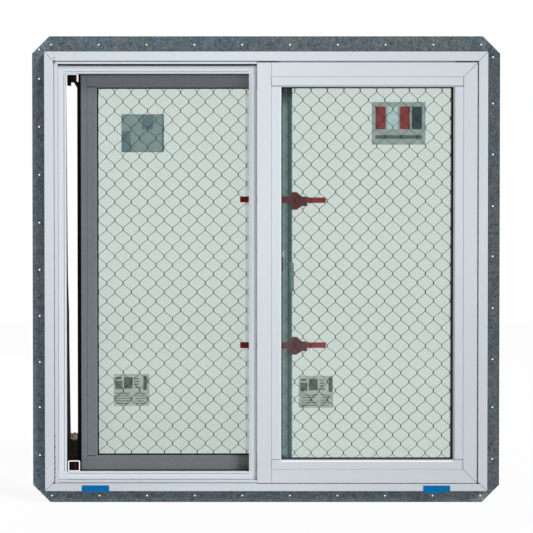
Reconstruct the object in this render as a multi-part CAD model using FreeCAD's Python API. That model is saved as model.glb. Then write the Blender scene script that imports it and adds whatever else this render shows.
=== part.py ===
import FreeCAD, Part
import math
import os

# Horizontal sliding window, seen from outside: a white frame with a nailing flange,
# a fixed sash on the right, a grey sliding sash in the track behind it on the left,
# and a half screen frame without cloth in front of the sliding sash.
# X runs across the window, Y from outside to the room, and Z up.
# The origin is on the back of the sill flange, at the middle of its face.
# A distance called u is measured inwards from the outer edge of the frame,
# and one called w inwards from the outer edge of a sash. Lengths are in millimetres.

os.makedirs("parts", exist_ok=True)

# Outer frame
frame_width = 1200.0
frame_height = 1190.5
frame_projection = 35.0
lip_height = 25.3
sill_lip_height = 19.6
lip_thickness = 6.0
outer_track_floor = 14.0
inner_track_floor = 30.0
inner_lip_height = 46.0
divider_thickness = 3.0
track_clearance = 1.5
sash_setback = 3.0
sill_rail_width = 8.0
edge_bevel = 1.0

# Nailing flange
flange_thickness = 3.0
head_flange_width = 45.5
sill_flange_width = 35.0
side_flange_width = 37.0
flange_corner_cut = 47.0
nail_hole_diameter = 5.0
across_nail_pitch = 130.2
across_nail_end = 5.0
left_nail_heights = [-8.5, 94.0, 225.0, 348.5, 474.5, 600.5, 729.0, 859.5, 990.0, 1120.5, 1200.5]
right_nail_heights = [83.0, 224.5, 356.0, 496.0, 637.0, 774.0, 914.5, 1053.5, 1179.5]

# Both sashes
sash_thickness = 36.0
bead_width = 27.0
bead_thickness = 11.0
bead_bevel = 4.5
bead_seam = 0.4
outer_lite_thickness = 6.0
glass_cavity = 10.0
inner_lite_thickness = 4.0
glass_bite = 18.0
spacer_edge_cover = 2.0
spacer_width = 14.0
gasket_width = 3.0
gasket_thickness = 3.0
tongue_inset = 5.0
tongue_end_inset = 60.0
tongue_clearance = 2.0

# Fixed sash
fixed_face_width = 39.0
fixed_side_margin = 26.8
fixed_head_margin = 29.0
fixed_sill_margin = 20.6
meeting_middle = -5.2

# Sliding sash, standing open by sash_opening
sliding_face_width = 17.0
sliding_head_margin = 48.1
sliding_sill_margin = 47.3
closed_side_margin = 36.2
sash_opening = 57.2
running_clearance = 0.3
lift_clearance = 12.0
fin_width = 10.3
fin_thickness = 26.0
interlock_groove_inset = 4.3
interlock_groove_width = 9.5
interlock_groove_depth = 8.0

# Half screen frame and the strips that hold it in the outer track
screen_bar_width = 21.5
screen_bar_thickness = 11.0
screen_bar_round = 1.5
screen_ridge_width = 4.6
screen_ridge_round = 2.0
screen_groove_width = 1.6
screen_groove_depth = 2.5
screen_head_gap = 4.5
screen_sill_gap = 0.6
screen_fit = 0.6
screen_strip_thickness = 20.0
jamb_strip_height = 35.6
head_strip_height = 32.45
sill_strip_height = 29.9
sill_strip_ridge = 2.0
strip_groove_width = 1.5
strip_groove_depth = 8.0
strip_clearance = 0.3
strip_fin_height = 10.0
strip_fin_thickness = 3.0

# Stop blocks in the left end of the inner track
block_thickness = 30.0
block_gap = 0.9
upper_block_reach = 76.0
upper_block_leg_width = 9.0
upper_block_leg_drop = 9.0
upper_block_leg_shift = 25.0
lower_block_reach = 148.5

# Lock on the room side of the sliding sash, and its keeper on the outer side
lock_width = 27.0
lock_length = 86.0
lock_height = 13.0
lock_overhang = 5.0
lock_round = 8.0
lock_drop = 16.0
lever_width = 12.0
lever_length = 64.0
lever_height = 9.0
lever_round = 3.0
keeper_width = 26.0
keeper_length = 36.0
keeper_thickness = 3.6
keeper_shift = 25.5
keeper_rise = 20.0

# Moulded strap clips that hook over the edge of the sliding sash
clip_strap_height = 16.0
clip_strap_thickness = 3.8
clip_strap_reach = 142.5
upper_strap_rise = 4.1
lower_strap_rise = 2.0
clip_bell_lip = 3.0
clip_bell_length = 26.0
clip_bell_flat = 12.5
clip_bell_height = 48.5
clip_bell_waist = 26.0
clip_bell_round = 2.5
clip_bell_thickness = 15.0
clip_slot_width = 5.5
clip_slot_height = 13.5
clip_slot_inset = 4.0
clip_slot_depth = 2.5
clip_buckle_length = 14.5
clip_buckle_height = 26.0
clip_buckle_drop = 1.1
clip_buckle_thickness = 12.0
clip_tail_length = 51.5
clip_tail_height = 15.0
clip_tail_rise = 1.9
clip_tail_thickness = 5.0
upper_clip_rise = 193.3
lower_clip_drop = 203.4

# Places that follow from the sizes
half_width = frame_width / 2
frame_bottom = sill_flange_width / 2
frame_top = frame_bottom + frame_height
frame_middle = frame_bottom + frame_height / 2

frame_front = -frame_projection
lip_back = frame_front + lip_thickness
fixed_front = frame_front + sash_setback
fixed_back = fixed_front + sash_thickness
divider_front = fixed_back + track_clearance
divider_back = divider_front + divider_thickness
sliding_front = divider_back + track_clearance
sliding_back = sliding_front + sash_thickness
room_lip_front = sliding_back + track_clearance
room_face = room_lip_front + lip_thickness

glass_thickness = outer_lite_thickness + glass_cavity + inner_lite_thickness
rebate_depth = bead_thickness + glass_thickness

fixed_left = meeting_middle - fixed_face_width / 2
fixed_right = half_width - fixed_side_margin
fixed_bottom = frame_bottom + fixed_sill_margin
fixed_top = frame_top - fixed_head_margin

meeting_face_right = fixed_left + fixed_face_width
sliding_left = -half_width + closed_side_margin + sash_opening
sliding_right = meeting_face_right + sash_opening
sliding_bottom = frame_bottom + sliding_sill_margin
sliding_top = frame_top - sliding_head_margin

sill_rail_top = (inner_track_floor + sliding_sill_margin) / 2
screen_back = fixed_front + screen_strip_thickness
screen_front = screen_back - screen_bar_thickness

UP = FreeCAD.Vector(0, 0, 1)
DOWN = FreeCAD.Vector(0, 0, -1)
RIGHT = FreeCAD.Vector(1, 0, 0)
LEFT = FreeCAD.Vector(-1, 0, 0)
ROOM = FreeCAD.Vector(0, 1, 0)


def save(name, solids):
    """Write one piece, or several alike that share a node."""
    shape = solids[0] if len(solids) == 1 else Part.makeCompound(solids)
    shape.exportStep("parts/" + name + ".step")


def block(x0, x1, y0, y1, z0, z1):
    """A box between two opposite corners."""
    return Part.makeBox(x1 - x0, y1 - y0, z1 - z0, FreeCAD.Vector(x0, y0, z0))


def plate(outline, y0, thickness):
    """A flat plate whose outline is a list of x and z."""
    corners = [FreeCAD.Vector(x, y0, z) for x, z in outline]
    face = Part.Face(Part.makePolygon(corners + corners[:1]))
    return face.extrude(ROOM * thickness)


def bar(section, corner, along, inward, length, start_mitre=1, end_mitre=1):
    """A straight bar whose section is a list of u and y, with ends mitred or square.

    The corner is the outer corner at the bar's start. A mitre of 1 cuts that end
    at 45 degrees, and a mitre of 0 cuts it square.
    """
    start = [corner + along * (start_mitre * u) + inward * u + ROOM * y for u, y in section]
    end = [corner + along * (length - end_mitre * u) + inward * u + ROOM * y for u, y in section]
    faces = [Part.Face(Part.makePolygon(ring + ring[:1])) for ring in (start, end)]
    for i in range(len(section)):
        j = (i + 1) % len(section)
        side = [start[i], start[j], end[j], end[i], start[i]]
        faces.append(Part.Face(Part.makePolygon(side)))
    solid = Part.makeSolid(Part.makeShell(faces))
    if solid.Volume < 0:
        solid.reverse()
    return solid


def frame_sides(left, right, bottom, top):
    """Where each side of an upright rectangle starts, how it runs and how long it is."""
    width = right - left
    height = top - bottom
    return {
        "head": (FreeCAD.Vector(left, 0, top), RIGHT, DOWN, width),
        "sill": (FreeCAD.Vector(left, 0, bottom), RIGHT, UP, width),
        "left": (FreeCAD.Vector(left, 0, bottom), UP, RIGHT, height),
        "right": (FreeCAD.Vector(right, 0, bottom), UP, LEFT, height),
    }


def ring_plate(left, right, bottom, top, band, y0, y1):
    """A flat rectangular ring of one band width."""
    outer = block(left, right, y0, y1, bottom, top)
    hole = block(left + band, right - band, y0, y1, bottom + band, top - band)
    return outer.cut(hole)


# Outer frame: four mitred bars with two tracks between their lips

def frame_section(sill):
    lip = sill_lip_height if sill else lip_height
    track = [(inner_track_floor, divider_back)]
    if sill:
        middle = (sliding_front + sliding_back) / 2
        rail_front = middle - sill_rail_width / 2
        rail_back = middle + sill_rail_width / 2
        track.append((inner_track_floor, rail_front))
        track.append((sill_rail_top, rail_front))
        track.append((sill_rail_top, rail_back))
        track.append((inner_track_floor, rail_back))
    track.append((inner_track_floor, room_lip_front))
    return [
        (0, frame_front + edge_bevel),
        (edge_bevel, frame_front),
        (lip - edge_bevel, frame_front),
        (lip, frame_front + edge_bevel),
        (lip, lip_back),
        (outer_track_floor, lip_back),
        (outer_track_floor, divider_front),
        (inner_lip_height, divider_front),
        (inner_lip_height, divider_back),
        *track,
        (inner_lip_height, room_lip_front),
        (inner_lip_height, room_face),
        (0, room_face),
    ]


for side, place in frame_sides(-half_width, half_width, frame_bottom, frame_top).items():
    member = side if side in ("head", "sill") else side + "_jamb"
    save("frame_" + member, [bar(frame_section(side == "sill"), *place)])


# Nailing flange: four strips with cut corners, joined on the diagonals

flange_left = -half_width - side_flange_width
flange_right = half_width + side_flange_width
flange_bottom = frame_bottom - sill_flange_width
flange_top = frame_top + head_flange_width


def corner_points(x_out, z_out, x_in, z_in):
    """The points of one flange corner: on the side edge, mid cut, on the level edge, and the frame's."""
    x_step = flange_corner_cut if x_in > x_out else -flange_corner_cut
    z_step = flange_corner_cut if z_in > z_out else -flange_corner_cut
    on_side = (x_out, z_out + z_step)
    middle = (x_out + x_step / 2, z_out + z_step / 2)
    on_level = (x_out + x_step, z_out)
    return on_side, middle, on_level, (x_in, z_in)


top_left = corner_points(flange_left, flange_top, -half_width, frame_top)
top_right = corner_points(flange_right, flange_top, half_width, frame_top)
bottom_left = corner_points(flange_left, flange_bottom, -half_width, frame_bottom)
bottom_right = corner_points(flange_right, flange_bottom, half_width, frame_bottom)


def level_strip(a, b):
    return [a[1], a[2], b[2], b[1], b[3], a[3]]


def side_strip(a, b):
    return [a[1], a[0], b[0], b[1], b[3], a[3]]


def spread(length, pitch, middle):
    """Places at one pitch about a middle, as many as fit in a length."""
    count = int(length / pitch) + 1
    first = middle - pitch * (count - 1) / 2
    return [first + pitch * i for i in range(count)]


def flange(outline, holes):
    strip = plate(outline, -flange_thickness, flange_thickness)
    drills = []
    for x, z in holes:
        foot = FreeCAD.Vector(x, -flange_thickness, z)
        drills.append(Part.makeCylinder(nail_hole_diameter / 2, flange_thickness, foot, ROOM))
    return strip.cut(Part.makeCompound(drills))


across_nails = spread(frame_width - 2 * across_nail_end, across_nail_pitch, 0.0)
head_nail_line = frame_top + head_flange_width / 2
sill_nail_line = frame_bottom - sill_flange_width / 2
side_nail_line = half_width + side_flange_width / 2
left_nails = [frame_bottom + height for height in left_nail_heights]
right_nails = [frame_bottom + height for height in right_nail_heights]

save("head_flange", [flange(level_strip(top_left, top_right), [(x, head_nail_line) for x in across_nails])])
save("sill_flange", [flange(level_strip(bottom_left, bottom_right), [(x, sill_nail_line) for x in across_nails])])
save("left_flange", [flange(side_strip(top_left, bottom_left), [(-side_nail_line, z) for z in left_nails])])
save("right_flange", [flange(side_strip(top_right, bottom_right), [(side_nail_line, z) for z in right_nails])])


# Sashes: four mitred bars around sealed double glazing, with beads on the outer side

def sash_section(front, face_width):
    leg_end = face_width + bead_width
    back = front + sash_thickness
    return [
        (0, front + edge_bevel),
        (edge_bevel, front),
        (face_width - edge_bevel, front),
        (face_width, front + edge_bevel),
        (face_width, front + rebate_depth),
        (leg_end, front + rebate_depth),
        (leg_end, back),
        (0, back),
    ]


def bead_section(front, face_width):
    start = face_width + bead_seam
    end = face_width + bead_width
    return [
        (start, front),
        (end - bead_bevel, front),
        (end, front + bead_bevel),
        (end, front + bead_thickness),
        (start, front + bead_thickness),
    ]


def sash(name, stiles, edges, front, face_width, tongues, grooves):
    """One sash. stiles names its left and right bars.

    tongues gives the shape added to a bar, and grooves the shape cut from one.
    """
    left, right, bottom, top = edges
    names = {"head": "top_rail", "sill": "bottom_rail", "left": stiles[0], "right": stiles[1]}
    sides = frame_sides(left, right, bottom, top)
    for side, place in sides.items():
        member = bar(sash_section(front, face_width), *place)
        if side in tongues:
            member = member.fuse(tongues[side]).removeSplitter()
        if side in grooves:
            member = member.cut(grooves[side])
        save(name + "_" + names[side], [member])

    bead = bead_section(front, face_width)
    seam = face_width + bead_seam
    clear = face_width + bead_width
    across = []
    upright = []
    for side in ("head", "sill"):
        corner, along, inward, length = sides[side]
        across.append(bar(bead, corner + along * seam, along, inward, length - 2 * seam, 0, 0))
    for side in ("left", "right"):
        corner, along, inward, length = sides[side]
        upright.append(bar(bead, corner + along * clear, along, inward, length - 2 * clear, 0, 0))
    save(name + "_beads_across", across)
    save(name + "_beads_upright", upright)

    glass_front = front + bead_thickness
    cavity_front = glass_front + outer_lite_thickness
    cavity_back = cavity_front + glass_cavity
    edge = face_width + bead_width - glass_bite
    pane = (left + edge, right - edge)
    rise = (bottom + edge, top - edge)
    save(name + "_outer_glass", [block(*pane, glass_front, cavity_front, *rise)])
    save(name + "_inner_glass", [block(*pane, cavity_back, cavity_back + inner_lite_thickness, *rise)])
    rim = edge + spacer_edge_cover
    spacer_place = (left + rim, right - rim, bottom + rim, top - rim)
    save(name + "_glass_spacer", [ring_plate(*spacer_place, spacer_width, cavity_front, cavity_back)])
    gasket_place = (left + clear, right - clear, bottom + clear, top - clear)
    gasket_front = glass_front - gasket_thickness
    save(name + "_gasket", [ring_plate(*gasket_place, gasket_width, gasket_front, glass_front)])


def tongue(x0, x1, z0, z1, front):
    """The part of a sash bar that stands in a track."""
    return block(x0, x1, front + tongue_inset, front + rebate_depth, z0, z1)


fixed_span = (fixed_left + tongue_end_inset, fixed_right - tongue_end_inset)
fixed_rise = (fixed_bottom + tongue_end_inset, fixed_top - tongue_end_inset)
head_seat = frame_top - outer_track_floor - tongue_clearance
sill_seat = frame_bottom + outer_track_floor
side_seat = half_width - outer_track_floor - tongue_clearance
fixed_tongues = {
    "head": tongue(*fixed_span, fixed_top, head_seat, fixed_front),
    "sill": tongue(*fixed_span, sill_seat, fixed_bottom, fixed_front),
    "right": tongue(fixed_right, side_seat, *fixed_rise, fixed_front),
}
fixed_edges = (fixed_left, fixed_right, fixed_bottom, fixed_top)
fixed_stiles = ("meeting_stile", "side_stile")
sash("fixed", fixed_stiles, fixed_edges, fixed_front, fixed_face_width, fixed_tongues, {})

sliding_span = (sliding_left + tongue_end_inset, sliding_right - tongue_end_inset)
lifted_top = frame_top - inner_track_floor - lift_clearance
rail_seat = frame_bottom + sill_rail_top + running_clearance
sliding_tongues = {
    "head": tongue(*sliding_span, sliding_top, lifted_top, sliding_front),
    "sill": tongue(*sliding_span, rail_seat, sliding_bottom, sliding_front),
}
groove_right = sliding_right - interlock_groove_inset
interlock_groove = block(
    groove_right - interlock_groove_width,
    groove_right,
    sliding_front,
    sliding_front + interlock_groove_depth,
    sliding_bottom + sliding_face_width,
    sliding_top - sliding_face_width,
)
sliding_edges = (sliding_left, sliding_right, sliding_bottom, sliding_top)
sliding_stiles = ("outer_stile", "lock_stile")
sliding_grooves = {"right": interlock_groove}
sash(
    "sliding",
    sliding_stiles,
    sliding_edges,
    sliding_front,
    sliding_face_width,
    sliding_tongues,
    sliding_grooves,
)

# Black weather fin along the free edge of the sliding sash

fin_left = sliding_left - fin_width
fin_front = sliding_front + (sash_thickness - fin_thickness) / 2
save("sliding_weather_fin", [
    block(fin_left, sliding_left, fin_front, fin_front + fin_thickness, sliding_bottom, sliding_top)
])


# Strips that fill the outer track in front of the sliding sash and hold the screen

groove_floor = fixed_front + strip_groove_depth
groove_start = lip_height + strip_clearance
sill_ridge_start = sill_lip_height + strip_clearance
sill_groove_start = sill_ridge_start + sill_strip_ridge


def strip_section(height, ridge, groove, fin):
    """A strip whose face starts beyond a groove. The ridge stands between the lip and the groove."""
    face = groove + strip_groove_width
    section = [(outer_track_floor, groove_floor)]
    if ridge < groove:
        section.append((ridge, groove_floor))
        section.append((ridge, fixed_front))
        section.append((groove, fixed_front))
        section.append((groove, groove_floor))
    section.append((face, groove_floor))
    section.append((face, fixed_front))
    section.append((height, fixed_front))
    if fin:
        section.append((height, screen_back))
        section.append((height + strip_fin_height, screen_back))
        section.append((height + strip_fin_height, screen_back + strip_fin_thickness))
    else:
        section.append((height, screen_back + strip_fin_thickness))
    section.append((outer_track_floor, screen_back + strip_fin_thickness))
    return section


# The jamb strip runs from track floor to track floor, with its face cut back at the lips
jamb_foot = frame_bottom + outer_track_floor
jamb_length = frame_height - 2 * outer_track_floor
jamb_corner = FreeCAD.Vector(-half_width, 0, jamb_foot)
jamb_section = strip_section(jamb_strip_height, groove_start, groove_start, True)
jamb_strip = bar(jamb_section, jamb_corner, UP, RIGHT, jamb_length, 0, 0)
jamb_edge = -half_width + jamb_strip_height
head_notch = frame_top - groove_start - strip_groove_width
sill_notch = frame_bottom + sill_ridge_start
jamb_top = jamb_foot + jamb_length
jamb_strip = jamb_strip.cut(block(-half_width, jamb_edge, fixed_front, groove_floor, head_notch, jamb_top))
jamb_strip = jamb_strip.cut(block(-half_width, jamb_edge, fixed_front, groove_floor, jamb_foot, sill_notch))
save("screen_jamb_strip", [jamb_strip])

# The head and sill strips butt against it
vent_right = fixed_left - screen_fit / 2
head_corner = FreeCAD.Vector(jamb_edge, 0, frame_top)
head_section = strip_section(head_strip_height, groove_start, groove_start, False)
head_strip = bar(head_section, head_corner, RIGHT, DOWN, vent_right - jamb_edge, 0, 0)
save("screen_head_strip", [head_strip.cut(jamb_strip)])
sill_corner = FreeCAD.Vector(jamb_edge, 0, frame_bottom)
sill_section = strip_section(sill_strip_height, sill_ridge_start, sill_groove_start, True)
sill_strip = bar(sill_section, sill_corner, RIGHT, UP, vent_right - jamb_edge, 0, 0)
save("screen_sill_strip", [sill_strip.cut(jamb_strip)])


# Half screen frame: four rounded bars butted to square corner keys

screen_left = -half_width + jamb_strip_height + screen_fit / 2
screen_right = fixed_left - screen_fit
screen_bottom = frame_bottom + sill_strip_height + screen_sill_gap
screen_top = frame_top - head_strip_height - screen_head_gap


def screen_bar(side):
    """A rolled bar: a round outer edge, a flat face, and a groove and ridge beside the opening."""
    corner, along, inward, length = screen_sides[side]

    def at(u, y):
        return corner + along * screen_bar_width + inward * u + ROOM * y

    outer = screen_bar_round
    inner = screen_ridge_round
    bulge = 1 - math.sqrt(0.5)
    ridge = screen_bar_width - screen_ridge_width
    groove = ridge - screen_groove_width
    groove_back = screen_front + screen_groove_depth
    straight = [
        at(outer, screen_front),
        at(groove, screen_front),
        at(groove, groove_back),
        at(ridge, groove_back),
        at(ridge, screen_front),
        at(screen_bar_width - inner, screen_front),
    ]
    behind = [
        at(screen_bar_width, screen_front + inner),
        at(screen_bar_width, screen_back),
        at(0, screen_back),
        at(0, screen_front + outer),
    ]
    inner_mid = at(screen_bar_width - inner * bulge, screen_front + inner * bulge)
    outer_mid = at(outer * bulge, screen_front + outer * bulge)
    inner_arc = Part.Arc(straight[-1], inner_mid, behind[0]).toShape()
    outer_arc = Part.Arc(behind[-1], outer_mid, straight[0]).toShape()
    edges = Part.makePolygon(straight).Edges + [inner_arc] + Part.makePolygon(behind).Edges + [outer_arc]
    return Part.Face(Part.Wire(edges)).extrude(along * (length - 2 * screen_bar_width))


screen_sides = frame_sides(screen_left, screen_right, screen_bottom, screen_top)
for side, name in (("head", "top"), ("sill", "bottom"), ("left", "left"), ("right", "right")):
    save("screen_" + name + "_bar", [screen_bar(side)])

key = screen_bar_width
keys = []
for x in (screen_left, screen_right - key):
    for z in (screen_bottom, screen_top - key):
        keys.append(block(x, x + key, screen_front, screen_back, z, z + key))
save("screen_corner_keys", keys)


# Stop blocks that stand in the inner track between the jamb and the sliding sash

block_left = -half_width + inner_track_floor
block_right = fin_left - block_gap
block_front = sliding_front
block_back = block_front + block_thickness
upper_bottom = frame_top - upper_block_reach
upper_top = frame_top - inner_track_floor
leg_left = block_left + upper_block_leg_shift
upper_body = block(block_left, block_right, block_front, block_back, upper_bottom, upper_top)
upper_leg = block(
    leg_left,
    leg_left + upper_block_leg_width,
    block_front,
    block_back,
    upper_bottom - upper_block_leg_drop,
    upper_bottom,
)
save("upper_stop_block", [upper_body.fuse(upper_leg).removeSplitter()])
lower_foot = frame_bottom + sill_rail_top
lower_top = frame_bottom + lower_block_reach
save("lower_stop_block", [block(block_left, block_right, block_front, block_back, lower_foot, lower_top)])


# Lock: a rounded housing with a lever, and the keeper plate on the other side

def rounded_plate(x0, x1, y0, y1, z0, z1, radius):
    """A plate with its four corner edges rounded."""
    shape = block(x0, x1, y0, y1, z0, z1)
    edges = [edge for edge in shape.Edges if abs(edge.Length - (y1 - y0)) < 0.01]
    return shape.makeFillet(radius, edges)


lock_middle = frame_middle - lock_drop
lock_right = sliding_right + lock_overhang
lock_left = lock_right - lock_width
lock_back = sliding_back + lock_height
save("lock_housing", [
    rounded_plate(
        lock_left,
        lock_right,
        sliding_back,
        lock_back,
        lock_middle - lock_length / 2,
        lock_middle + lock_length / 2,
        lock_round,
    )
])
lever_middle = (lock_left + lock_right) / 2
save("lock_lever", [
    rounded_plate(
        lever_middle - lever_width / 2,
        lever_middle + lever_width / 2,
        lock_back,
        lock_back + lever_height,
        lock_middle - lever_length / 2,
        lock_middle + lever_length / 2,
        lever_round,
    )
])
keeper_right = sliding_right - keeper_shift
keeper_middle = frame_middle + keeper_rise
save("lock_keeper", [
    block(
        keeper_right - keeper_width,
        keeper_right,
        sliding_front - keeper_thickness,
        sliding_front,
        keeper_middle - keeper_length / 2,
        keeper_middle + keeper_length / 2,
    )
])


# Strap clips: a strap on the face of the sash, a bell that hooks over its edge, and a tail

def strap_clip(middle, strap_rise):
    front = sliding_front - clip_strap_thickness
    bell_end = sliding_right + clip_bell_length
    buckle_end = bell_end + clip_buckle_length

    def centred(x0, x1, depth, height, rise):
        foot = middle + rise - height / 2
        return block(x0, x1, front, front + depth, foot, foot + height)

    shoulder = sliding_right + clip_bell_flat
    tall = clip_bell_height / 2
    waist = clip_bell_waist / 2
    waist_middle = middle - clip_buckle_drop
    bell = plate(
        [
            (sliding_right, middle - tall),
            (shoulder, middle - tall),
            (bell_end, waist_middle - waist),
            (bell_end, waist_middle + waist),
            (shoulder, middle + tall),
            (sliding_right, middle + tall),
        ],
        front,
        clip_bell_thickness,
    )
    corners = []
    for edge in bell.Edges:
        runs_back = abs(edge.Length - clip_bell_thickness) < 0.01
        at_top_or_foot = abs(abs(edge.CenterOfMass.z - middle) - tall) < 0.01
        if runs_back and at_top_or_foot:
            corners.append(edge)
    bell = bell.makeFillet(clip_bell_round, corners)
    strap_start = sliding_right - clip_strap_reach
    strap = centred(strap_start, bell_end, clip_strap_thickness, clip_strap_height, strap_rise)
    lip_start = sliding_right - clip_bell_lip
    lip_rise = clip_bell_height - 2 * clip_bell_round
    lip = centred(lip_start, shoulder, clip_strap_thickness, lip_rise, 0)
    buckle = centred(bell_end, buckle_end, clip_buckle_thickness, clip_buckle_height, -clip_buckle_drop)
    tail_end = buckle_end + clip_tail_length
    tail = centred(buckle_end, tail_end, clip_tail_thickness, clip_tail_height, clip_tail_rise)
    clip = strap.fuse([lip, bell, buckle, tail]).removeSplitter()
    for start in (sliding_right + clip_slot_inset, bell_end - clip_slot_width / 2):
        slot = centred(start, start + clip_slot_width, clip_slot_depth, clip_slot_height, 0)
        clip = clip.cut(slot)
    return clip


save("upper_strap_clip", [strap_clip(frame_middle + upper_clip_rise, upper_strap_rise)])
save("lower_strap_clip", [strap_clip(frame_middle - lower_clip_drop, lower_strap_rise)])
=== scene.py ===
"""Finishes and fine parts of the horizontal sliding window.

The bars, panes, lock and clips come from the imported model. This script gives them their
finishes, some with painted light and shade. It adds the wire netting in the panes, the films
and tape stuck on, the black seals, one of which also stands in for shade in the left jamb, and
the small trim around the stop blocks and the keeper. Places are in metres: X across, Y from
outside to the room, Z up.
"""

import math

import bmesh
import bpy
from mathutils import Matrix, Vector


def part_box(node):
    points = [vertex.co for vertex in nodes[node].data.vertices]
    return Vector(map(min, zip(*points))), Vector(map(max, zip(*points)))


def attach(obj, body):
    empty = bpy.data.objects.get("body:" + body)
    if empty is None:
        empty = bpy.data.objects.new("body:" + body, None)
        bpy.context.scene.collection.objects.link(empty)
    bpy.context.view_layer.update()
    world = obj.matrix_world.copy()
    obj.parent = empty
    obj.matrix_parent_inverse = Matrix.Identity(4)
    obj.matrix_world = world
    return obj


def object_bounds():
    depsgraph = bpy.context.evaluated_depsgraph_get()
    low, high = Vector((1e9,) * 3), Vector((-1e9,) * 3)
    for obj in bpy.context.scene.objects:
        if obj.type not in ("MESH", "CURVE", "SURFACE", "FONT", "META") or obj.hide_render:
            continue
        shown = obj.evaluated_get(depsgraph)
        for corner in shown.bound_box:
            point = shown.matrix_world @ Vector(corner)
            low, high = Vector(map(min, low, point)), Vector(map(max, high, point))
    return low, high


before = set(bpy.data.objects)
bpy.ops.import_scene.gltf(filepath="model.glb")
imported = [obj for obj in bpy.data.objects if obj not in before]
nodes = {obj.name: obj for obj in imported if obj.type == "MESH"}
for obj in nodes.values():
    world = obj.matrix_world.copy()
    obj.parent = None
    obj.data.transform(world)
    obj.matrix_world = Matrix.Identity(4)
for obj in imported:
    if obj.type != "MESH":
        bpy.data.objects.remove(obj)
cad_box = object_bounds()

MM = 0.001

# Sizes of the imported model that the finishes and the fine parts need, in metres
FRAME_LOW = Vector((-0.6, -0.035, 0.0175))
FRAME_HIGH = Vector((0.6, 0.0535, 1.208))
FIXED_FACE_WIDTH = 39 * MM
SLIDING_FACE_WIDTH = 17 * MM
BEAD_WIDTH = 27 * MM
GLASS_BITE = 18 * MM

# Limits of y. In front of the first lie the outer faces of the frame and the fixed sash, and
# in front of the second those of the sliding sash. Behind the third lies the room side.
OUTER_FACES = -19 * MM
SLIDING_OUTER_HALF = 25 * MM
WALL_PLANE = 1 * MM

WIRE_RADIUS = 0.76 * MM
TWIST_HEIGHT = 8 * MM
# How thick a pair of wires is at each quarter turn of a twist, in single wires
TWIST_SWELL = (0.9, 1.3, 1.5, 1.3, 0.9)

FLOOR_SIZE = 9
WINDOW_MIDDLE = Vector((0, 0, 0.62))


# Colours and values


def rgb(red, green, blue):
    """A colour given as it is seen, 0 to 255, as the shader's linear values."""

    def linear(value):
        value /= 255
        return value / 12.92 if value <= 0.04045 else ((value + 0.055) / 1.055) ** 2.4

    return (linear(red), linear(green), linear(blue), 1)


class Term:
    """A value inside a node tree. Arithmetic on it adds Math nodes."""

    def __init__(self, owner, socket):
        self.owner = owner
        self.socket = socket

    def maths(self, operation, *values):
        return self.owner.node("ShaderNodeMath", {"operation": operation}, values)

    def __add__(self, other):
        return self.maths("ADD", self, other)

    def __sub__(self, other):
        return self.maths("SUBTRACT", self, other)

    def __mul__(self, other):
        return self.maths("MULTIPLY", self, other)

    def __truediv__(self, other):
        return self.maths("DIVIDE", self, other)

    def __rsub__(self, other):
        return self.maths("SUBTRACT", other, self)

    def __lt__(self, other):
        return self.maths("LESS_THAN", self, other)

    def __gt__(self, other):
        return self.maths("GREATER_THAN", self, other)

    def __abs__(self):
        return self.maths("ABSOLUTE", self)

    __radd__ = __add__

    def least(self, other):
        return self.maths("MINIMUM", self, other)

    def most(self, other):
        return self.maths("MAXIMUM", self, other)


class NodeTree:
    """The nodes of one material or world."""

    def __init__(self, tree):
        self.tree = tree

    def node(self, kind, settings=None, inputs=(), output=0):
        """Add a node: its settings first, then what its sockets take. Gives one output."""
        node = self.tree.nodes.new(kind)
        for key, value in (settings or {}).items():
            setattr(node, key, value)
        pairs = inputs.items() if isinstance(inputs, dict) else enumerate(inputs)
        for key, value in pairs:
            if isinstance(value, Term):
                self.tree.links.new(value.socket, node.inputs[key])
            else:
                node.inputs[key].default_value = value
        return Term(self, node.outputs[output])

    def mix_shaders(self, share, first, second):
        """The first shader where share is 0 and the second where it is 1."""
        return self.node("ShaderNodeMixShader", None, [share, first, second])

    def show(self, shader, end):
        """Make a shader the surface of the tree's output node, which end names."""
        self.tree.links.new(shader.socket, self.tree.nodes[end].inputs["Surface"])


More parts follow.
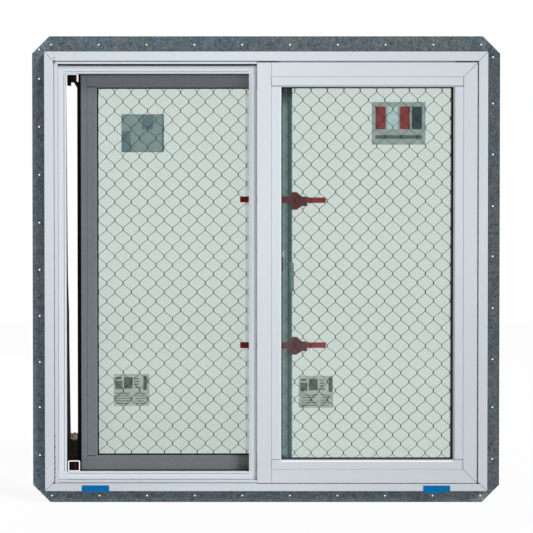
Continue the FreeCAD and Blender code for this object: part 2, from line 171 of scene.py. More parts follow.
class Finish(NodeTree):
    """A material made of nodes round one Principled shader."""

    # The sockets of a Mix node that mixes colours, and its output
    SHARE, FIRST, SECOND, RESULT = 0, 6, 7, 2

    def __init__(self, name, **plain):
        self.material = bpy.data.materials.new(name)
        self.material.use_nodes = True
        super().__init__(self.material.node_tree)
        self.shader = self.tree.nodes["Principled BSDF"]
        for key, value in plain.items():
            socket = key.replace("_", " ").title().replace("Ior", "IOR")
            self.shader.inputs[socket].default_value = value

    def place(self):
        """The point on the surface as three terms, x, y and z, in metres."""
        spot = self.spot()
        return [self.node("ShaderNodeSeparateXYZ", None, [spot], i) for i in range(3)]

    def spot(self, stretch=None):
        spot = self.node("ShaderNodeTexCoord", output="Object")
        if stretch:
            spot = self.node("ShaderNodeVectorMath", {"operation": "MULTIPLY"}, [spot, stretch])
        return spot

    def noise(self, scale, detail=2.0, roughness=0.5, stretch=None):
        spot = self.spot(stretch)
        inputs = {"Vector": spot, "Scale": scale, "Detail": detail, "Roughness": roughness}
        return self.node("ShaderNodeTexNoise", None, inputs)

    def cells(self, scale):
        inputs = {"Vector": self.spot(), "Scale": scale}
        return self.node("ShaderNodeTexVoronoi", None, inputs, "Distance")

    def step(self, term, low, high):
        """0 below low, 1 above high, smooth between."""
        settings = {"interpolation_type": "SMOOTHSTEP"}
        return self.node("ShaderNodeMapRange", settings, [term, low, high, 0.0, 1.0])

    def band(self, term, low, high, soft):
        """1 where the term lies between low and high."""
        above_low = self.step(term, low - soft, low + soft)
        return above_low * (1 - self.step(term, high - soft, high + soft))

    def mix(self, share, first, second):
        """The first colour where share is 0 and the second where it is 1."""
        inputs = {self.SHARE: share, self.FIRST: first, self.SECOND: second}
        return self.node("ShaderNodeMix", {"data_type": "RGBA"}, inputs, self.RESULT)

    def shade(self, colour, level):
        """A colour made lighter or darker by a level about 1."""
        grey = self.node("ShaderNodeCombineColor", None, [level, level, level])
        settings = {"data_type": "RGBA", "blend_type": "MULTIPLY"}
        inputs = {self.SHARE: 1.0, self.FIRST: colour, self.SECOND: grey}
        return self.node("ShaderNodeMix", settings, inputs, self.RESULT)

    def feed(self, socket, term):
        self.tree.links.new(term.socket, self.shader.inputs[socket])

    def bump(self, height, distance, strength):
        inputs = {"Strength": strength, "Distance": distance, "Height": height}
        self.feed("Normal", self.node("ShaderNodeBump", None, inputs))


def wear(finish, colour):
    """A moulded colour with faint clouds, fine scuffs and a few specks of dirt."""
    clouds = finish.noise(3.2, 3.0, 0.55)
    scuffs = finish.noise(60.0, 2.0, 0.6, (1.0, 1.0, 0.35))
    level = 1 + (clouds - 0.5) * 0.048 + (scuffs - 0.5) * 0.02
    dots = 1 - finish.step(finish.cells(55.0), 0.035, 0.06)
    some = finish.step(finish.noise(9.0), 0.56, 0.62)
    return finish.shade(colour, level * (1 - dots * some * 0.25))


def beyond(finish, low, high):
    """How far the point lies outside a rectangle of x and z, across and upright."""
    x, _, z = finish.place()
    across = abs(x - (low[0] + high[0]) / 2) - (high[0] - low[0]) / 2
    upright = abs(z - (low[1] + high[1]) / 2) - (high[1] - low[1]) / 2
    return across, upright


def corner_seams(finish, low, high, half_width, length):
    """1 on the diagonal joints at the corners of a rectangle of x and z."""
    across, upright = beyond(finish, low, high)
    near = 1 - finish.step(abs(across - upright), half_width * 0.5, half_width * 1.4)
    return near * finish.step(across.least(upright), -length - 1 * MM, -length)


def with_room_side(finish, seam, low, high):
    """The given joints on the outer side, and plain faint mitres on the room side."""
    y = finish.place()[1]
    room_side = corner_seams(finish, low, high, 0.6 * MM, 70 * MM) * (y > WALL_PLANE)
    return (seam * (y < WALL_PLANE)).most(room_side * 0.6)


# Finishes

JOINT_AND_SHADE_GREY = rgb(98, 98, 100)


def white_vinyl(name):
    """White vinyl, with painted shade towards the sides and the foot. Gives the finish and its
    colour.
    """
    finish = Finish(name, roughness=0.42, specular_ior_level=0.35)
    x, _, z = finish.place()
    # Painted shade: the colour is darker towards the right and left sides and the foot
    right = finish.step(x, -0.1, 0.62)
    left = 1 - finish.step(x, -0.62, -0.1)
    foot = 1 - finish.step(z, 0.0, 0.9)
    colour = finish.shade(rgb(206, 211, 216), 1 - right * 0.09 - left * 0.07 - foot * 0.13)
    finish.bump(finish.noise(240.0, 2.0), 0.05 * MM, 0.5)
    return finish, wear(finish, colour)


def frame_vinyl(low, high):
    """The outer frame: welded corners, and dirt in the front groove near its ends."""
    finish, colour = white_vinyl("frame_vinyl")
    x, y, z = finish.place()
    outer = y < OUTER_FACES
    groove = finish.band(abs(x), 571.2 * MM, 575.2 * MM, 0.6 * MM)
    by_sill = finish.band(z, 42 * MM, 170 * MM, 4 * MM)
    by_head = finish.step(z, 1165 * MM, 1180 * MM)
    lumps = finish.step(finish.noise(150.0, 2.0), 0.5, 0.56)
    dirt = lumps * groove * by_sill.most(by_head) * outer
    spot = finish.band(x, -576.4 * MM, -568.8 * MM, 1 * MM)
    spot = spot * finish.band(z, 1177.6 * MM, 1184.8 * MM, 1 * MM) * outer
    colour = finish.mix(dirt.most(spot * 0.75) * 0.8, colour, rgb(92, 66, 56))
    welds = corner_seams(finish, low, high, 1.1 * MM, 25 * MM)
    seam = with_room_side(finish, welds, low, high)
    finish.feed("Base Color", finish.mix(seam * 0.8, colour, JOINT_AND_SHADE_GREY))
    return finish.material


def sash_vinyl(low, high):
    """The fixed sash and its beads, darker along the right and lower edges.

    The left bar runs through, and the level ones end at its edge. At the right they are
    welded.
    """
    finish, colour = white_vinyl("sash_vinyl")
    x, y, z = finish.place()
    outer = y < OUTER_FACES
    face = FIXED_FACE_WIDTH
    welds = corner_seams(finish, low, high, 1.1 * MM, face) * finish.step(x, 0.2, 0.3)
    seam = with_room_side(finish, welds, low, high)

    bar_edge = low[0] + face
    line = finish.band(x, bar_edge - 0.9 * MM, bar_edge + 0.9 * MM, 0.6 * MM)
    level_bars = 1 - finish.band(z, low[1] + face, high[1] - face, 0.5 * MM)
    seam = seam + line * outer * level_bars * 0.6

    inwards = (x - low[0]).least(high[0] - x)
    upwards = (z - low[1]).least(high[1] - z)
    bead_end = finish.band(inwards, face - 0.6 * MM, face + 1.2 * MM, 0.5 * MM)
    bead_end = bead_end * outer * finish.band(upwards, face, face + 25 * MM, 1 * MM)
    seam = seam.most(bead_end * 0.75)

    # A painted highlight along the top of the lower bead, and a painted shade line above it
    inner_edge = face + BEAD_WIDTH
    pane_wide = finish.step(inwards, inner_edge - 1 * MM, inner_edge + 1 * MM) * outer
    bead_top = low[1] + inner_edge
    painted_highlight = finish.band(z, bead_top - 6.9 * MM, bead_top - 3.9 * MM, 0.6 * MM) * pane_wide
    colour = finish.mix(painted_highlight * 0.85, colour, rgb(242, 246, 249))
    painted_shade_line = finish.band(z, bead_top - 2.4 * MM, bead_top + 0.4 * MM, 0.5 * MM)
    seam = seam.most(painted_shade_line * pane_wide)
    # The joints and the painted shade line at the top of the lower bead are mixed in one grey
    colour = finish.mix(seam * 0.8, colour, JOINT_AND_SHADE_GREY)

    # Darker, in patches, along the right and lower edges
    edge = 1 - finish.step((high[0] - x).least(z - low[1]), 0.8 * MM, 1.8 * MM)
    patchy = finish.step(finish.noise(70.0, 3.0, 0.65), 0.3, 0.62)
    darker_edge = edge * outer * (0.3 + patchy * 0.5)
    finish.feed("Base Color", finish.mix(darker_edge, colour, rgb(84, 76, 68)))
    return finish.material


def grey_vinyl(name, low, high, painted_light_bands=()):
    """Fine-grained grey vinyl of the sliding sash, with painted light by the head and the sill.

    Each band of painted light gives the x of its left and right edges, the z of its foot and top,
    all in millimetres, and how much lighter it is painted. They lie on the outer side only.
    """
    finish = Finish(name, roughness=0.5, specular_ior_level=0.35)
    x, y, z = finish.place()
    grain = finish.noise(190.0, 3.0, 0.75)
    blotch = finish.noise(45.0, 2.0, 0.5)
    # Painted light: the rails by the head and the sill are painted lighter, to make up for the
    # shade on them
    by_head = finish.step(z, 1.11, 1.15)
    by_sill = 1 - finish.step(z, 0.07, 0.10)
    level = 0.59 + grain * 0.7 + blotch * 0.12
    level = level * (1 + by_head * 0.95 + by_sill * 0.3)
    base = rgb(103, 108, 112)
    outer = y < SLIDING_OUTER_HALF
    for left, right, foot, top, light in painted_light_bands:
        inside = finish.band(x, left * MM, right * MM, 0.4 * MM)
        inside = inside * finish.band(z, foot * MM, top * MM, 2 * MM)
        level = level * (1 + inside * outer * (light - 1))
    # Painted reflection: a teal cast over the lock stile's outer side, as the fixed pane mirrors
    # the sky
    if painted_light_bands:
        base = finish.mix(outer * finish.step(x, 36 * MM, 38 * MM), base, rgb(98, 111, 113))
        base = finish.mix(outer * finish.step(x, 59 * MM, 61 * MM), base, rgb(89, 111, 118))
    colour = finish.shade(base, level)
    seam = corner_seams(finish, low, high, 0.7 * MM, SLIDING_FACE_WIDTH)
    finish.feed("Base Color", finish.mix(seam * 0.5, colour, rgb(60, 64, 68)))
    finish.bump(grain, 0.1 * MM, 0.6)
    return finish.material


def flange_vinyl():
    """Mottled dark grey flange with pale and dark specks, dark corner joints and a ragged edge."""
    finish = Finish("flange_vinyl", roughness=0.62, specular_ior_level=0.3)
    x, _, z = finish.place()
    coarse = finish.noise(70.0, 4.0, 0.62)
    fine = finish.noise(210.0, 3.0, 0.7)
    streak_and_shadow = finish.noise(22.0, 3.0, 0.6, (1.0, 1.0, 0.6))

    # Painted light and shade: the head, sill and left flanges are painted lighter, and the right
    # one darker
    head = finish.step(z, 1.205, 1.209)
    sill = 1 - finish.step(z, 0.015, 0.019)
    left = 1 - finish.step(x, -0.602, -0.599)
    right = finish.step(x, 0.599, 0.602)
    level = coarse * 0.9 + fine * 2.5 + (streak_and_shadow - 0.5) * 0.45 - 0.83
    level = level * (1 + head * 0.2 + sill * 0.5)
    level = level * (1 + left * 0.35 - right * 0.15)

    olive = finish.step(streak_and_shadow * 0.6 + finish.noise(7.0) * 0.5 + x * 0.08, 0.5, 0.62)
    colour = finish.shade(finish.mix(olive * 0.7, rgb(86, 98, 107), rgb(92, 97, 97)), level)
    specks = finish.step(finish.noise(330.0, 2.0, 0.5), 0.65, 0.7)
    colour = finish.mix(specks * 0.65, colour, rgb(164, 176, 182))
    pits = finish.step(finish.noise(240.0, 2.0, 0.5, (1.0, 1.0, 0.9)), 0.38, 0.31)
    colour = finish.mix(pits * 0.5, colour, rgb(38, 42, 44))

    # The painted shadow of the frame beside it, the rim line and the crumbs of the right rim
    across, upright = beyond(finish, FRAME_LOW.xz, FRAME_HIGH.xz)
    reach = across.most(upright)
    edge = 1 - finish.step(reach + (coarse - 0.5) * 0.003, 0.8 * MM, 3.2 * MM)
    colour = finish.mix(edge * 0.62, colour, rgb(40, 45, 49))
    ragged = (fine - 0.5) * 0.004
    side_rims = finish.step(across + ragged, 33.6 * MM, 35.6 * MM)
    sill_rim = 1 - finish.step(z + ragged, -16 * MM, -14 * MM)
    colour = finish.mix(side_rims.most(sill_rim) * 0.35, colour, rgb(46, 56, 64))
    crumbs = finish.step(finish.noise(170.0, 2.0, 0.5), 0.5, 0.54)
    crumbs = crumbs * finish.step(x, 633.8 * MM, 635.2 * MM)
    colour = finish.mix(crumbs * 0.8, colour, rgb(52, 36, 30))

    joint = abs(across - upright + (fine - 0.5) * 0.003)
    joint = 1 - finish.step(joint, 0.9 * MM, 2.0 * MM)
    joint = joint * finish.step(across.least(upright), 0.0, 1 * MM)
    finish.feed("Base Color", finish.mix(joint * 0.8, colour, rgb(34, 36, 37)))
    finish.bump(coarse + fine, 0.5 * MM, 0.5)
    return finish.material


def plain_finish(name, colour, roughness, depth=0.05, scale=80.0, **plain):
    """A plain coloured part with a little unevenness."""
    finish = Finish(name, roughness=roughness, **plain)
    cloud = finish.noise(scale, 3.0, 0.6)
    finish.feed("Base Color", finish.shade(colour, 1 - depth + cloud * (2 * depth)))
    finish.bump(cloud, 0.05 * MM, 0.6)
    return finish.material


def glazing():
    """Clear tinted glass with a thin film of dust, duller at the foot. It mirrors a little."""
    finish = Finish("glazing")
    finish.tree.nodes.remove(finish.shader)
    x, _, z = finish.place()

    def layer(kind, *colour):
        return finish.node("ShaderNodeBsdf" + kind, None, [(*colour, 1)])

    foot = 1 - finish.step(z, 0.1, 0.75)
    left_pane = 1 - finish.step(x, -0.05, 0.05)
    left_end = 1 - finish.step(x, -0.47, -0.40)
    dulled = foot * (left_pane * 0.10 + left_end * 0.15 + 0.09)
    clear = layer("Transparent", 0.886, 0.914, 0.900)
    dull = layer("Transparent", 0.753, 0.777, 0.765)
    pane = finish.mix_shaders(dulled, clear, dull)

    dust = layer("Diffuse", 0.74, 0.82, 0.80)
    pane = finish.mix_shaders(0.012, pane, dust)
    # Painted shadow of the screen's right bar, a thin brownish band on the sliding pane
    streak_and_shadow = finish.band(x, -57 * MM, -48 * MM, 1.2 * MM) * 0.07
    pane = finish.mix_shaders(streak_and_shadow, pane, layer("Diffuse", 0.36, 0.33, 0.24))
    # Painted shade along the fixed pane's right edge, beside the gasket
    right_edge_shade = finish.band(x, 502.6 * MM, 520 * MM, 0.8 * MM) * 0.55
    pane = finish.mix_shaders(right_edge_shade, pane, layer("Diffuse", 0.006, 0.012, 0.012))

    gloss = {"Color": (0.9, 0.97, 0.96, 1), "Roughness": 0.03}
    mirror = finish.node("ShaderNodeBsdfGlossy", None, gloss)
    share = finish.node("ShaderNodeFresnel", None, [1.45]) * 0.35
    finish.show(finish.mix_shaders(share, pane, mirror), "Material Output")
    return finish.material


def wire_finish():
    """Dark wire, with painted light where it lies in front of the sliding sash's lock stile."""
    finish = Finish("wire_steel", roughness=0.6, specular_ior_level=0.2)
    x = finish.place()[0]
    # Painted light: the wire is lighter in front of the lock stile
    lit = finish.band(x, 40 * MM, 69 * MM, 1 * MM)
    colour = finish.mix(lit, rgb(20, 22, 21), rgb(92, 108, 108))
    finish.feed("Base Color", finish.shade(colour, 0.9 + finish.noise(300.0, 3.0, 0.6) * 0.2))
    return finish.material


def clip_plastic():
    """Red moulding: a deep strap, a darker bell and a brighter tail, with painted shade between.
    """
    finish = Finish("red_plastic", roughness=0.4, specular_ior_level=0.25)
    x = finish.place()[0]
    cloud = finish.noise(60.0, 3.0, 0.6)
    strap = finish.mix(finish.step(x, 10 * MM, 40 * MM), rgb(112, 4, 8), rgb(132, 30, 46))
    bell = finish.mix(finish.step(x, 66 * MM, 68 * MM), strap, rgb(120, 26, 38))
    colour = finish.mix(finish.step(x, 111 * MM, 113 * MM), bell, rgb(178, 26, 32))
    # Painted shade in the grooves at the ends of the bell and the tail
    bell_end = finish.band(x, 92.7 * MM, 95.4 * MM, 0.6 * MM)
    tail_end = finish.band(x, 107.4 * MM, 110.4 * MM, 0.6 * MM)
    level = (0.8 + cloud * 0.4) * (1 - (bell_end + tail_end) * 0.45)
    finish.feed("Base Color", finish.shade(colour, level))
    finish.bump(cloud, 0.1 * MM, 0.6)
    return finish.material


def foam():
    """Black foam of the stop blocks, worn to tan at the top of the lower one."""
    finish = Finish("block_foam", roughness=0.9, specular_ior_level=0.2)
    x, _, z = finish.place()
    lumps = finish.noise(140.0, 4.0, 0.7)
    black = finish.shade(rgb(20, 20, 16), lumps * 3.6 - 0.7)
    tan = finish.shade(rgb(112, 100, 86), lumps * 3.9 - 1.05)
    above = finish.step(z + (lumps - 0.5) * 0.03, 0.151, 0.155)
    lower_block = 1 - finish.step(z, 0.3, 0.4)
    worn = above * lower_block * finish.step(x, -0.539, -0.535)
    finish.feed("Base Color", finish.mix(worn, black, tan))
    finish.bump(lumps, 1.5 * MM, 0.8)
    return finish.material


def printed(name, base, cover, low, marks):
    """A thin film, partly see-through, whose marks are plain rectangles.

    Each mark is a colour and how well it covers, with its left, foot, right and top in
    millimetres from the film's lower left corner.
    """
    finish = Finish(name, roughness=0.5, specular_ior_level=0.1)
    x, _, z = finish.place()
    colour = finish.shade(base, 0.97 + finish.noise(24.0, 3.0, 0.6) * 0.06)
    across = (x - low[0]) / MM
    up = (z - low[1]) / MM
    for paint, opaque, left, foot, right, top in marks:
        inside = finish.band(across, left, right, 0.6) * finish.band(up, foot, top, 0.6)
        colour = finish.mix(inside, colour, paint)
        cover = cover + inside * (opaque - cover)
    finish.feed("Base Color", colour)
    finish.feed("Alpha", cover)
    return finish.material


# Fine parts


def finished(name, bm, material, smooth=False):
    """Make one piece of a bmesh whose places are final."""
    bmesh.ops.recalc_face_normals(bm, faces=bm.faces)
    mesh = bpy.data.meshes.new(name)
    bm.to_mesh(mesh)
    bm.free()
    mesh.materials.append(material)
    for face in mesh.polygons:
        face.use_smooth = smooth
    piece = bpy.data.objects.new(name, mesh)
    bpy.context.scene.collection.objects.link(piece)
    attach(piece, "root")


def add_box(bm, low, high):
    """A box between two corners, added to a bmesh."""
    size = [high[i] - low[i] for i in range(3)]
    middle = [(high[i] + low[i]) / 2 for i in range(3)]
    matrix = Matrix.Translation(middle) @ Matrix.Diagonal((*size, 1))
    bmesh.ops.create_cube(bm, size=1, matrix=matrix)


def bevel(bm, edges, width, segments):
    bmesh.ops.bevel(
        bm, geom=edges, offset=width, segments=segments, profile=0.5, affect="EDGES", material=-1
    )


def edges_along_y(bm):
    return [edge for edge in bm.edges if abs(edge.verts[0].co.y - edge.verts[1].co.y) > 0.01 * MM]


def joined(name, boxes, material, round_edge=0.4 * MM):
    """One piece of several softened boxes, given as x, y and z limits in millimetres."""
    bm = bmesh.new()
    for limits in boxes:
        low = [limits[i] * MM for i in (0, 2, 4)]
        high = [limits[i] * MM for i in (1, 3, 5)]
        add_box(bm, low, high)
    sharp = [edge for edge in bm.edges if edge.calc_face_angle(0) > 0.6]
    bevel(bm, sharp, round_edge, 2)
    finished(name, bm, material)


def prism(name, outline, y0, y1, material):
    """A flat piece cut to an outline of x and z. Its front lies at y0, all in millimetres."""
    bm = bmesh.new()
    front = bm.faces.new([bm.verts.new((x * MM, y0 * MM, z * MM)) for x, z in outline])
    grown = bmesh.ops.extrude_face_region(bm, geom=[front])["geom"]
    back = [item for item in grown if isinstance(item, bmesh.types.BMVert)]
    bmesh.ops.translate(bm, verts=back, vec=(0, (y1 - y0) * MM, 0))
    finished(name, bm, material)


def ring(name, low, high, band, corner, material):
    """A closed flat ring with rounded outer corners, between two places in millimetres."""
    bm = bmesh.new()
    add_box(bm, [value * MM for value in low], [value * MM for value in high])
    bevel(bm, edges_along_y(bm), corner * MM, 4)
    bm.normal_update()
    ends = [face for face in bm.faces if abs(face.normal.y) > 0.9]
    bmesh.ops.inset_individual(bm, faces=ends, thickness=band * MM)
    hole = [edge for face in ends for edge in face.edges]
    bmesh.ops.delete(bm, geom=ends, context="FACES_ONLY")
    bmesh.ops.bridge_loops(bm, edges=hole)
    finished(name, bm, material)


def film_on(pane, name, low, high, base, cover, marks):
    """A printed film on the room side of an inner lite. Places are x and z in millimetres."""
    low = [value * MM for value in low]
    high = [value * MM for value in high]
    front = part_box(pane)[1].y + 0.05 * MM
    bm = bmesh.new()
    add_box(bm, (low[0], front, low[1]), (high[0], front + 0.2 * MM, high[1]))
    bevel(bm, edges_along_y(bm), 1 * MM, 3)
    finished(name, bm, printed(name, base, cover, low, marks))


def note(pane, name, low, high, shift):
    """A small pale note with grey bars of several lengths on it."""
    faint = rgb(92, 108, 102)
    fainter = rgb(116, 132, 126)
    ink = rgb(40, 50, 50)
    boxes = [(faint, 6, 74, 22, 80), (fainter, 4, 46, 24, 70), (faint, 28, 48, 52, 80)]
    for row in range(4):
        boxes.append((fainter, 57, 50 + 8 * row, 72 - 3 * (row % 2), 54 + 8 * row))
    for row in range(5):
        foot, top = 6 + 7 * row, 8.5 + 7 * row
        boxes.append((faint, 6, foot, 40 + 6 * ((row + shift) % 3), top))
        boxes.append((fainter, 60, foot, 92 - 8 * ((row + shift) % 2), top))
    boxes.append((faint, 82, 44, 92, 84))
    boxes.append((ink, 83, 50, 91, 53))
    boxes.append((ink, 83, 75, 91, 78))
    marks = [(paint, 0.95 if paint is ink else 0.78, *place) for paint, *place in boxes]
    film_on(pane, name, low, high, rgb(224, 228, 222), 0.5, marks)


def tape(name, outline):
    """A strip of blue tape on the front of the sill. The outline is x and z in millimetres."""
    finish = Finish(name, roughness=0.6, specular_ior_level=0.1)
    z = finish.place()[2]
    top = max(height for _, height in outline) * MM
    cloud = finish.noise(90.0, 3.0, 0.6) * 0.3 + finish.noise(420.0, 2.0, 0.6) * 0.16
    blue = finish.shade(rgb(0, 116, 184), 0.45 + cloud)
    rim_share = 1 - finish.step(top - z, 0.4 * MM, 1.4 * MM)
    finish.feed("Base Color", finish.mix(rim_share * 0.5, blue, rgb(190, 204, 212)))
    finish.bump(cloud, 0.2 * MM, 0.5)
    sill_front = FRAME_LOW.y / MM
    prism(name, outline, sill_front - 0.5, sill_front, finish.material)


def wire_net(name, pane, first, pitch, drop, loss, material):
    """Twisted wire netting in one outer lite, with a twist at the first place.

    The pitch is across, and the drop is from one row of twists to the next. A small loss
    brings the rows closer together towards the foot.
    """
    low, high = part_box(pane)
    middle = (low.y + high.y) / 2
    curve = bpy.data.curves.new(name, "CURVE")
    curve.dimensions = "3D"
    curve.bevel_depth = WIRE_RADIUS
    curve.bevel_resolution = 1
    half = pitch / 2
    left = math.floor((low.x - first[0]) / half) - 1
    right = math.ceil((high.x - first[0]) / half) + 1
    top = math.floor((first[1] - high.z) / drop) - 1
    foot = math.ceil((first[1] - low.z) / drop) + 3
    for column in range(left, right):
        points = []
        for row in range(top, foot):
            here = (column + row) % 2 == 0
            side = WIRE_RADIUS if here else -WIRE_RADIUS
            x = first[0] + half * (column if here else column + 1)
            z = first[1] - drop * row + loss * row * row
            for i, swell in enumerate(TWIST_SWELL):
                turn = i * math.pi / 2
                across = x + side * math.cos(turn)
                depth = middle + side * math.sin(turn)
                height = z + TWIST_HEIGHT * (0.5 - i / 4)
                points.append((across, depth, height, swell))
        spline = curve.splines.new("POLY")
        spline.points.add(len(points) - 1)
        for point, (*place, swell) in zip(spline.points, points):
            point.co = (*place, 1)
            point.radius = swell
    strand = bpy.data.objects.new(name, curve)
    bpy.context.scene.collection.objects.link(strand)
    mesh = bpy.data.meshes.new_from_object(strand)
    bpy.data.objects.remove(strand)
    bm = bmesh.new()
    bm.from_mesh(mesh)
    bpy.data.meshes.remove(mesh)
    margin = 1 * MM
    cuts = [
        ((low.x + margin, 0, 0), (-1, 0, 0)),
        ((high.x - margin, 0, 0), (1, 0, 0)),
        ((0, 0, low.z + margin), (0, 0, -1)),
        ((0, 0, high.z - margin), (0, 0, 1)),
    ]
    for place, outward in cuts:
        geometry = bm.verts[:] + bm.edges[:] + bm.faces[:]
        bmesh.ops.bisect_plane(
            bm, geom=geometry, plane_co=place, plane_no=outward, clear_outer=True
        )
        open_edges = [edge for edge in bm.edges if edge.is_boundary]
        bmesh.ops.holes_fill(bm, edges=open_edges, sides=0)
    finished(name, bm, material, smooth=True)


def around(pane, face_width):
    """The outline of the sash round a pane, as two corners of x and z."""
    low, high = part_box(pane)
    reach = face_width + BEAD_WIDTH - GLASS_BITE
    return (low.x - reach, low.z - reach), (high.x + reach, high.z + reach)


def seen_directly(tree):
    """1 for rays from the camera, also once glass has passed them on."""
    kinds = ("Is Camera Ray", "Is Transmission Ray")
    rays = [tree.node("ShaderNodeLightPath", output=kind) for kind in kinds]
    return rays[0].most(rays[1])


def lamp(name, place, size, power):
    """A square soft lamp that looks at the middle of the window."""
    light = bpy.data.lights.new(name, "AREA")
    light.size = size
    light.energy = power
    holder = bpy.data.objects.new(name, light)
    bpy.context.scene.collection.objects.link(holder)
    holder.location = place
    holder.rotation_euler = (WINDOW_MIDDLE - Vector(place)).to_track_quat("-Z", "Y").to_euler()
    holder.visible_glossy = False


# The finishes of this window

frame_white = frame_vinyl(FRAME_LOW.xz, FRAME_HIGH.xz)
sash_white = sash_vinyl(*around("fixed_outer_glass", FIXED_FACE_WIDTH))
grey_edges = around("sliding_outer_glass", SLIDING_FACE_WIDTH)
sash_grey = grey_vinyl("grey_vinyl", *grey_edges)
# Painted light on the lock stile's outer side, seen through the fixed pane: each row is x left and
# right, z foot and top, in millimetres, and how much lighter it is painted
lock_side_painted_light = [
    (38.0, 46.3, 60.0, 1090.0, 3.4), (46.3, 49.0, 60.0, 1090.0, 2.9),
    (49.0, 51.8, 60.0, 1090.0, 2.6), (51.8, 54.4, 60.0, 1090.0, 2.3),
    (38.0, 54.4, 1090.0, 1120.0, 1.9), (54.4, 57.2, 60.0, 1120.0, 3.2),
    (57.2, 60.0, 60.0, 1090.0, 1.9), (60.0, 62.8, 60.0, 1090.0, 1.8),
    (62.8, 65.5, 60.0, 559.0, 2.6), (62.8, 65.5, 559.0, 639.0, 4.5),
    (62.8, 65.5, 639.0, 1090.0, 2.5), (65.5, 68.2, 60.0, 559.0, 2.1),
    (65.5, 68.2, 559.0, 639.0, 2.9), (65.5, 68.2, 639.0, 1090.0, 2.0),
    (68.2, 75.0, 60.0, 559.0, 1.9), (68.2, 75.0, 559.0, 639.0, 2.6),
    (68.2, 75.0, 639.0, 1090.0, 1.8),
]
lock_side_grey_painted_light = grey_vinyl("lock_side_painted_light_vinyl", *grey_edges, lock_side_painted_light)
flange_grey = flange_vinyl()
glass = glazing()
screen_paint = plain_finish(
    "screen_paint", rgb(204, 209, 214), 0.3, 0.015, 6.0, specular_ior_level=0.5
)
key_white = plain_finish("key_plastic", rgb(202, 207, 212), 0.4, 0.015, 30.0)
spacer_metal = plain_finish("spacer_metal", rgb(226, 230, 229), 0.5, 0.03)
gasket_black = plain_finish(
    "gasket_rubber", rgb(6, 9, 9), 0.8, 0.2, 200.0, specular_ior_level=0.05
)
fin_black = plain_finish("fin_rubber", rgb(10, 9, 8), 0.85, 0.25, 160.0, specular_ior_level=0.1)
foam_black = foam()
lock_grey = plain_finish("lock_plastic", rgb(150, 160, 156), 0.45, 0.03)
keeper_black = plain_finish("black_plastic", rgb(8, 9, 9), 0.6, 0.1, specular_ior_level=0.1)
clip_red = clip_plastic()
wire_steel = wire_finish()
trim_white = plain_finish("trim_white", rgb(232, 236, 238), 0.35, 0.03)
strip_red = plain_finish("strip_red", rgb(98, 14, 14), 0.6, 0.15, specular_ior_level=0.1)
seal_black = plain_finish("seal_black", rgb(26, 26, 25), 0.7, 0.2, 120.0)

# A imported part's finish, by how its name ends, or else by how it starts
finish_by_end = {
    "_flange": flange_grey,
    "_strip": frame_white,
    "_corner_keys": key_white,
    "_glass": glass,
    "_glass_spacer": spacer_metal,
    "_gasket": gasket_black,
    "_fin": fin_black,
    "_stop_block": foam_black,
    "_keeper": keeper_black,
    "_lock_stile": lock_side_grey_painted_light,
    "sliding_beads_upright": lock_side_grey_painted_light,
    "_clip": clip_red,
}
finish_by_start = {
    "frame_": frame_white,
    "screen_": screen_paint,
    "fixed_": sash_white,
    "sliding_": sash_grey,
    "lock_": lock_grey,
}
for name, node in nodes.items():
    chosen = [finish for end, finish in finish_by_end.items() if name.endswith(end)]
    chosen += [finish for start, finish in finish_by_start.items() if name.startswith(start)]
    if node.material_slots:
        for slot in node.material_slots:
            slot.material = chosen[0]
    else:
        node.data.materials.append(chosen[0])
    if chosen[0] is glass:
        node.visible_shadow = False

# Wire netting in the outer panes

wire_net(
    "fixed_wire_net", "fixed_outer_glass", (99.9 * MM, 1079.2 * MM),
    44.44 * MM, 25.07 * MM, 0.0121 * MM, wire_steel,
)
wire_net(
    "sliding_wire_net", "sliding_outer_glass", (-437.9 * MM, 1078.6 * MM),
    45.17 * MM, 25.11 * MM, 0.0107 * MM, wire_steel,
)

# Labels, notes and tape

slate = rgb(44, 74, 90)
dull_red = rgb(180, 52, 50)
pale_blue = rgb(164, 228, 238)
strip_blue = rgb(98, 136, 150)

# A sheet of four coloured panels over a thin bar
film_on(
    "fixed_inner_glass", "colour_label", (288.0, 959.0), (434.5, 1075.0), rgb(176, 192, 190), 0.5,
    [
        (dull_red, 0.9, 10, 42, 38, 104),
        (pale_blue, 0.3, 43, 42, 71, 104),
        (dull_red, 0.9, 76, 42, 104, 104),
        (slate, 0.93, 109, 42, 137, 104),
        (rgb(30, 66, 74), 0.66, 10, 16, 137, 26),
    ],
)
# A plain tinted sheet with two darker fields and a darker right edge
film_on(
    "sliding_inner_glass", "tinted_label", (-398.6, 940.7), (-281.3, 1045.6),
    rgb(148, 174, 178), 0.6,
    [
        (strip_blue, 0.7, 0, 0, 26, 58),
        (strip_blue, 0.7, 56, 62, 88, 102),
        (rgb(90, 128, 142), 0.76, 112, 0, 117.3, 105),
    ],
)

note("sliding_inner_glass", "left_note", (-421.0, 240.7), (-322.0, 329.2), 0)
note("fixed_inner_glass", "right_note", (88.9, 240.0), (183.5, 328.0), 1)

tape("left_tape", [
    (-500.0, 34.0), (-500.6, 25.0), (-499.8, 16.2), (-470.0, 16.0), (-433.0, 16.3),
    (-432.0, 14.2), (-425.8, 14.0), (-425.6, 24.0), (-426.2, 33.8), (-460.0, 34.2),
])
tape("right_tape", [
    (426.4, 33.4), (426.2, 20.0), (426.8, 12.8), (448.0, 12.4), (469.0, 11.8), (474.0, 15.4),
    (499.4, 16.6), (499.8, 25.0), (499.2, 33.2), (460.0, 33.5),
])

# White corner pieces of the screen frame in front of the stop blocks, with red strips in them

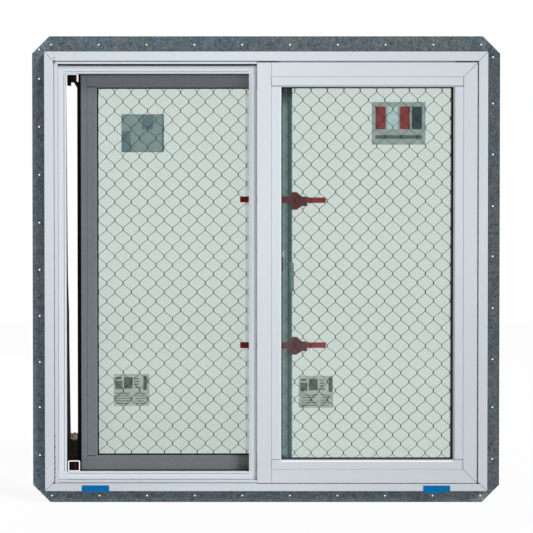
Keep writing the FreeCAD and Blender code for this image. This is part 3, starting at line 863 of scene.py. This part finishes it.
ring(
    "lower_screen_ring", (-538.9, -24.4, 69.4), (-506.3, -20.5, 99.4), 2.7, 4.5,
    trim_white,
)
joined(
    "lower_red_strip", [(-526.6, -521.6, 8.9, 10.5, 67.0, 91.0)],
    strip_red,
)
joined(
    "upper_screen_ring",
    [
        (-542.8, -540.0, -24.4, -12.0, 1119.2, 1149.6),
        (-542.8, -509.6, -24.4, -12.0, 1147.3, 1149.6),
        (-513.0, -509.6, -24.4, -12.0, 1128.0, 1149.6),
    ],
    trim_white,
)
joined(
    "upper_red_strip", [(-525.2, -519.2, 8.9, 10.5, 1134.7, 1145.6)],
    strip_red,
)

# A black wedge between the upper stop block and the fin, and crumbs on the lower block
prism(
    "upper_foam_wedge", [(-527.0, 1133.0), (-516.8, 1133.0), (-516.8, 1115.5), (-519.2, 1119.0)],
    10.5, 20.0, foam_black,
)
joined(
    "lower_foam_crumbs",
    [
        (-526.6, -522.8, 10.6, 15.0, 164.0, 172.5), (-531.0, -526.0, 11.5, 17.0, 165.0, 168.4),
        (-543.0, -539.0, 12.0, 18.0, 165.0, 168.0), (-537.5, -534.5, 11.0, 15.0, 165.2, 167.2),
    ],
    foam_black, 0.8 * MM,
)

# A pale plate above the keeper and two small tabs on it
joined(
    "keeper_plate",
    [
        (41.5, 49.6, 8.6, 10.2, 652.0, 669.0), (41.8, 46.4, 5.6, 6.6, 639.6, 643.6),
        (41.8, 46.4, 5.6, 6.6, 626.4, 628.2),
    ],
    trim_white, 0.3 * MM,
)

# Black seals behind the screen: in the groove above it, and above and below the sliding sash
joined(
    "screen_head_seal", [(-563.5, -26.5, -20.0, -13.0, 1172.6, 1176.8)],
    seal_black,
)
joined(
    "sash_head_seal", [(-541.5, -26.5, -12.0, -9.5, 1146.6, 1152.0)],
    seal_black,
)
joined(
    "sash_sill_seal", [(-541.5, -26.5, -12.0, -9.5, 62.0, 73.0)],
    seal_black,
)

# A black seal strip in the left jamb, which also stands in as painted shade for the shaded inside
# of the jamb. It hangs further out towards the sill
prism(
    "jamb_seal_and_shade",
    [
        (-562.0, 160.0), (-535.3, 160.0), (-537.2, 300.0), (-538.6, 400.0), (-539.2, 500.0),
        (-540.6, 540.0), (-542.2, 600.0), (-543.2, 720.0), (-543.8, 830.0), (-544.6, 950.0),
        (-545.2, 1050.0), (-545.6, 1123.0), (-562.0, 1123.0),
    ],
    8.5, 10.2, seal_black,
)

# Floor, light and camera

floor_place = Matrix.Translation((0, 0, cad_box[0].z))
bm = bmesh.new()
bmesh.ops.create_grid(bm, x_segments=1, y_segments=1, size=FLOOR_SIZE, matrix=floor_place)
floor_mesh = bpy.data.meshes.new("floor")
bm.to_mesh(floor_mesh)
bm.free()
floor = bpy.data.objects.new("floor", floor_mesh)
bpy.context.scene.collection.objects.link(floor)

# The camera sees floor and world as even white, and neither lights the window so strongly
pale = Finish("pale_floor", base_color=(0.86, 0.86, 0.86, 1), roughness=0.9)
glow = pale.node("ShaderNodeEmission", None, [(1, 1, 1, 1), 1.0])
body = Term(pale, pale.shader.outputs[0])
pale.show(pale.mix_shaders(seen_directly(pale) * 0.9, body, glow), "Material Output")
floor.data.materials.append(pale.material)

world = bpy.data.worlds.new("studio")
bpy.context.scene.world = world
world.use_nodes = True
sky = NodeTree(world.node_tree)
cool = (0.93, 0.97, 1.0, 1)
soft = sky.node("ShaderNodeBackground", None, [cool, 0.42])
white = sky.node("ShaderNodeBackground", None, [(1, 1, 1, 1), 1.0])
dim = sky.node("ShaderNodeBackground", None, [cool, 0.16])
mirrored = sky.node("ShaderNodeLightPath", output="Is Glossy Ray")
lit = sky.mix_shaders(mirrored, soft, dim)
sky.show(sky.mix_shaders(seen_directly(sky), lit, white), "World Output")

lamp("front_lamp", (-0.8, -4.8, 1.8), 3.0, 10)
lamp("room_lamp", (-2.0, 4.0, 3.0), 2.6, 60)

sun = bpy.data.lights.new("key_lamp", "SUN")
sun.angle = math.radians(22)
sun.energy = 3.0
key = bpy.data.objects.new("key_lamp", sun)
bpy.context.scene.collection.objects.link(key)
key.rotation_euler = Vector((0.60, -0.55, 0.58)).to_track_quat("Z", "Y").to_euler()
key.visible_glossy = False

camera_data = bpy.data.cameras.new("camera")
camera_data.lens = 99.83
camera_data.sensor_width = 36
camera_data.clip_end = 60
camera = bpy.data.objects.new("camera", camera_data)
bpy.context.scene.collection.objects.link(camera)
camera.location = (0.0011, -4.035, 0.6944)
camera.rotation_euler = (math.radians(90 - 0.96), 0, 0)
bpy.context.scene.camera = camera
bpy.context.scene.view_settings.view_transform = "Standard"
